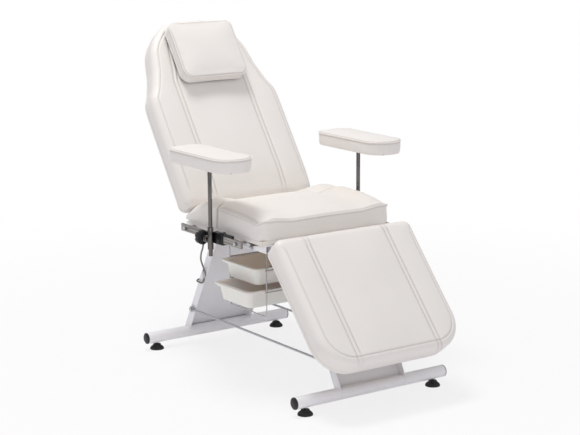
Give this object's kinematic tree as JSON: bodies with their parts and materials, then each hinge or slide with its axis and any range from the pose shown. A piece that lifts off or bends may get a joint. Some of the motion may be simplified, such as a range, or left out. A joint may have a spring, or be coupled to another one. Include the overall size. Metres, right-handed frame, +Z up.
{
  "type": "podiatry chair",
  "caption": "Podiatry treatment chair with hinged back and leg rest, head pillow, rail-mounted armrests and pull-out trays under the seat, on splayed sheet-metal legs with levelling feet.",
  "frame": {"origin": "on the floor, below the middle of the chair's whole length and width", "axes": "+Z up, -Y is the front where the leg rest is, +Y the back, +X the side of the leg-rest strut"},
  "size_m": [0.752, 1.3031, 1.1544],
  "materials": {
    "white_paint": "white powder coat, satin",
    "vinyl": "warm white leatherette, fine grain",
    "plywood": "birch plywood",
    "chrome": "polished chrome",
    "chrome_wire": "chromed wire",
    "stainless": "brushed stainless",
    "zinc_steel": "zinc-plated steel",
    "black_plastic": "black moulded nylon",
    "black_rubber": "black rubber",
    "black_paint": "black enamel",
    "cable_sheath": "dark grey sheath",
    "tray_plastic": "cream white moulded plastic"
  },
  "bodies": {
    "base": {"rear_foot_tube": "white_paint", "front_foot_tube": "white_paint", "tube_caps": "black_plastic", "rear_leg": "white_paint", "front_leg": "white_paint", "tie_rod_left": "zinc_steel", "tie_rod_right": "zinc_steel", "rod_bolts": "zinc_steel", "leg_bolts": "zinc_steel", "seat_frame": "white_paint", "frame_end_sleeves": "black_plastic", "rail_left": "stainless", "rail_right": "stainless", "rail_bolts": "zinc_steel", "side_bolts": "zinc_steel", "seat_board": "plywood", "seat_front_cushion": "vinyl", "seat_rear_cushion": "vinyl", "tray_rack": "chrome_wire", "rack_nuts": "zinc_steel", "back_hinge_pins": "zinc_steel", "legrest_hinge_pins": "zinc_steel", "release_bracket": "black_plastic", "release_cable": "cable_sheath", "cable_ferrule": "chrome_wire", "spring_bracket": "white_paint", "spring_pins": "zinc_steel"},
    "foot_1": {"foot_1": "black_rubber"},
    "foot_2": {"foot_2": "black_rubber"},
    "foot_3": {"foot_3": "black_rubber"},
    "foot_4": {"foot_4": "black_rubber"},
    "back": {"back_frame": "white_paint", "back_board": "plywood", "back_cushion": "vinyl", "pillow": "vinyl"},
    "legrest": {"legrest_frame": "white_paint", "legrest_board": "plywood", "legrest_cushion": "vinyl"},
    "clamp_left": {"clamp_left": "black_plastic", "sleeve_left": "chrome"},
    "clamp_lever_left": {"clamp_lever_left": "black_plastic"},
    "knob_left": {"knob_left": "black_plastic"},
    "post_left": {"post_left": "chrome"},
    "armrest_left": {"pad_board_left": "plywood", "pad_left": "vinyl"},
    "clamp_right": {"clamp_right": "black_plastic", "sleeve_right": "chrome"},
    "clamp_lever_right": {"clamp_lever_right": "black_plastic"},
    "knob_right": {"knob_right": "black_plastic"},
    "post_right": {"post_right": "chrome"},
    "armrest_right": {"pad_board_right": "plywood", "pad_right": "vinyl"},
    "tray_upper": {"tray_upper": "tray_plastic"},
    "tray_lower": {"tray_lower": "tray_plastic"},
    "back_spring_rod": {"back_spring_rod": "chrome"},
    "back_spring_cylinder": {"back_spring_cylinder": "black_paint"},
    "strut_cylinder": {"strut_cylinder": "black_paint"},
    "strut_rod": {"strut_rod": "chrome"},
    "release_lever": {"release_lever": "black_plastic"}
  },
  "joints": [
    {"name": "backrest_recline", "type": "hinge", "parent": "base", "child": "back", "pos_m": [0, 0.23446, 0.4875], "axis": [-1, 0, 0], "range_deg": [0, 55.3]},
    {"name": "legrest_raise", "type": "hinge", "parent": "base", "child": "legrest", "pos_m": [0, -0.27494, 0.4875], "axis": [-1, 0, 0], "range_deg": [0, 48.5]},
    {"name": "foot_1_turn", "type": "hinge", "parent": "base", "child": "foot_1", "pos_m": [-0.26, 0.43046, 0], "axis": [0, 0, 1], "continuous": true},
    {"name": "foot_2_turn", "type": "hinge", "parent": "base", "child": "foot_2", "pos_m": [0.26, 0.43046, 0], "axis": [0, 0, 1], "continuous": true},
    {"name": "foot_3_turn", "type": "hinge", "parent": "base", "child": "foot_3", "pos_m": [-0.26, -0.48954, 0], "axis": [0, 0, 1], "continuous": true},
    {"name": "foot_4_turn", "type": "hinge", "parent": "base", "child": "foot_4", "pos_m": [0.26, -0.48954, 0], "axis": [0, 0, 1], "continuous": true},
    {"name": "clamp_left_slide", "type": "slide", "parent": "base", "child": "clamp_left", "axis": [0, 1, 0], "range_m": [-0.05, 0.1]},
    {"name": "clamp_lever_left_lift", "type": "hinge", "parent": "clamp_left", "child": "clamp_lever_left", "pos_m": [-0.289, -0.06554, 0.5106], "axis": [-1, 0, 0], "range_deg": [0, 100]},
    {"name": "knob_left_turn", "type": "hinge", "parent": "clamp_left", "child": "knob_left", "pos_m": [-0.324, 0.00046, 0.4935], "axis": [0, 1, 0], "continuous": true},
    {"name": "post_left_height", "type": "slide", "parent": "clamp_left", "child": "post_left", "axis": [0, 0, 1], "range_m": [-0.1, 0.02]},
    {"name": "armrest_left_swivel", "type": "hinge", "parent": "post_left", "child": "armrest_left", "pos_m": [-0.306, -0.01754, 0.735], "axis": [0, 0, 1], "range_deg": [-90, 90]},
    {"name": "clamp_right_slide", "type": "slide", "parent": "base", "child": "clamp_right", "axis": [0, 1, 0], "range_m": [-0.05, 0.1]},
    {"name": "clamp_lever_right_lift", "type": "hinge", "parent": "clamp_right", "child": "clamp_lever_right", "pos_m": [0.289, -0.06554, 0.5106], "axis": [-1, 0, 0], "range_deg": [0, 100]},
    {"name": "knob_right_turn", "type": "hinge", "parent": "clamp_right", "child": "knob_right", "pos_m": [0.324, 0.00046, 0.4935], "axis": [0, 1, 0], "continuous": true},
    {"name": "post_right_height", "type": "slide", "parent": "clamp_right", "child": "post_right", "axis": [0, 0, 1], "range_m": [-0.1, 0.02]},
    {"name": "armrest_right_swivel", "type": "hinge", "parent": "post_right", "child": "armrest_right", "pos_m": [0.306, -0.01754, 0.735], "axis": [0, 0, 1], "range_deg": [-90, 90]},
    {"name": "tray_upper_slide", "type": "slide", "parent": "base", "child": "tray_upper", "axis": [-1, 0, 0], "range_m": [-0.043, 0.2]},
    {"name": "tray_lower_slide", "type": "slide", "parent": "base", "child": "tray_lower", "axis": [-1, 0, 0], "range_m": [-0.073, 0.17]},
    {"name": "back_spring_swing", "type": "hinge", "parent": "base", "child": "back_spring_rod", "pos_m": [0, 0.34546, 0.28], "axis": [-1, 0, 0], "range_deg": [0, 17.19]},
    {"name": "back_spring_stroke", "type": "slide", "parent": "back_spring_rod", "child": "back_spring_cylinder", "axis": [0, -0.0653, -0.9979], "range_m": [0, 0.1501]},
    {"name": "strut_swing", "type": "hinge", "parent": "base", "child": "strut_cylinder", "pos_m": [0.182, -0.02954, 0.45], "axis": [-1, 0, 0], "range_deg": [0, 6.92]},
    {"name": "strut_stroke", "type": "slide", "parent": "strut_cylinder", "child": "strut_rod", "axis": [0, -0.9796, -0.2008], "range_m": [0, 0.06322]},
    {"name": "release_lever_pull", "type": "hinge", "parent": "base", "child": "release_lever", "pos_m": [-0.231, 0.14046, 0.454], "axis": [0, 1, 0], "range_deg": [0, 15], "stiffness_Nm_per_rad": 0.4, "springref_deg": -11.46}
  ],
  "couplings": [
    {"joint": "back_spring_swing", "follows": "backrest_recline", "ratio": 0.31042},
    {"joint": "back_spring_stroke", "follows": "backrest_recline", "m_per_rad": 0.15541},
    {"joint": "strut_swing", "follows": "legrest_raise", "ratio": 0.14233},
    {"joint": "strut_stroke", "follows": "legrest_raise", "m_per_rad": 0.074566}
  ]
}
